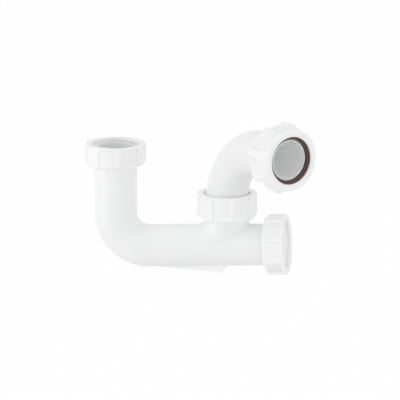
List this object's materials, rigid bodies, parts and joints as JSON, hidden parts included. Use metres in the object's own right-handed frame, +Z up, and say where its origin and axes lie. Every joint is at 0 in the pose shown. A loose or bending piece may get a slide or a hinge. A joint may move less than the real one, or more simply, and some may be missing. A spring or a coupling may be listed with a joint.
{
  "type": "bath trap",
  "caption": "White plastic bath trap with a captive inlet nut, a swivelling outlet elbow, a compression outlet and a cleaning eye.",
  "frame": {"origin": "centre of the inlet nut's mouth, on the inlet axis", "axes": "+Z up along the inlet axis, out of the mouth; +X along the run towards the cleaning eye; -Y towards the side the outlet points to at rest"},
  "size_m": [0.249, 0.1295, 0.173],
  "materials": {
    "white_plastic": "satin",
    "pale_washer": "satin",
    "dark_rubber": "matt",
    "red_plastic": "matt"
  },
  "bodies": {
    "trap_body": {"trap_body": "white_plastic", "inlet_washer": "pale_washer", "swivel_washer": "dark_rubber"},
    "inlet_nut": {"inlet_nut": "white_plastic"},
    "swivel_nut": {"swivel_nut": "white_plastic"},
    "outlet_elbow": {"outlet_elbow": "white_plastic"},
    "outlet_seal": {"outlet_seal": "dark_rubber", "outlet_slip_ring": "red_plastic"},
    "outlet_nut": {"outlet_nut": "white_plastic"},
    "cleaning_eye_plug": {"cleaning_eye_plug": "white_plastic", "cleaning_eye_washer": "dark_rubber"},
    "cleaning_eye_nut": {"cleaning_eye_nut": "white_plastic"}
  },
  "joints": [
    {"name": "inlet_nut_turn", "type": "hinge", "parent": "trap_body", "child": "inlet_nut", "pos_m": [0, 0, -0.0104], "axis": [0, 0, 1], "continuous": true},
    {"name": "swivel_nut_turn", "type": "hinge", "parent": "trap_body", "child": "swivel_nut", "pos_m": [0.117, 0, -0.0605], "axis": [0, 0, 1], "continuous": true},
    {"name": "outlet_swivel", "type": "hinge", "parent": "trap_body", "child": "outlet_elbow", "pos_m": [0.117, 0, -0.0605], "axis": [0, 0, 1], "range_deg": [-98, 185]},
    {"name": "outlet_seal_slide", "type": "slide", "parent": "outlet_elbow", "child": "outlet_seal", "axis": [0.723, -0.6909, 0], "range_m": [0, 0.00924]},
    {"name": "outlet_nut_turn", "type": "hinge", "parent": "outlet_seal", "child": "outlet_nut", "pos_m": [0.18568, -0.06563, 0.0063], "axis": [0.723, -0.6909, 0], "range_deg": [0, 1440]},
    {"name": "eye_plug_slide", "type": "slide", "parent": "trap_body", "child": "cleaning_eye_plug", "axis": [0.9986, 0, 0.0523], "range_m": [0, 0.00808]},
    {"name": "eye_nut_turn", "type": "hinge", "parent": "cleaning_eye_plug", "child": "cleaning_eye_nut", "pos_m": [0.16877, 0, -0.10015], "axis": [0.9986, 0, 0.0523], "range_deg": [0, 1260]}
  ],
  "couplings": [
    {"joint": "outlet_seal_slide", "follows": "outlet_nut_turn", "m_per_rad": 0.00036749},
    {"joint": "eye_plug_slide", "follows": "eye_nut_turn", "m_per_rad": 0.00036749}
  ]
}
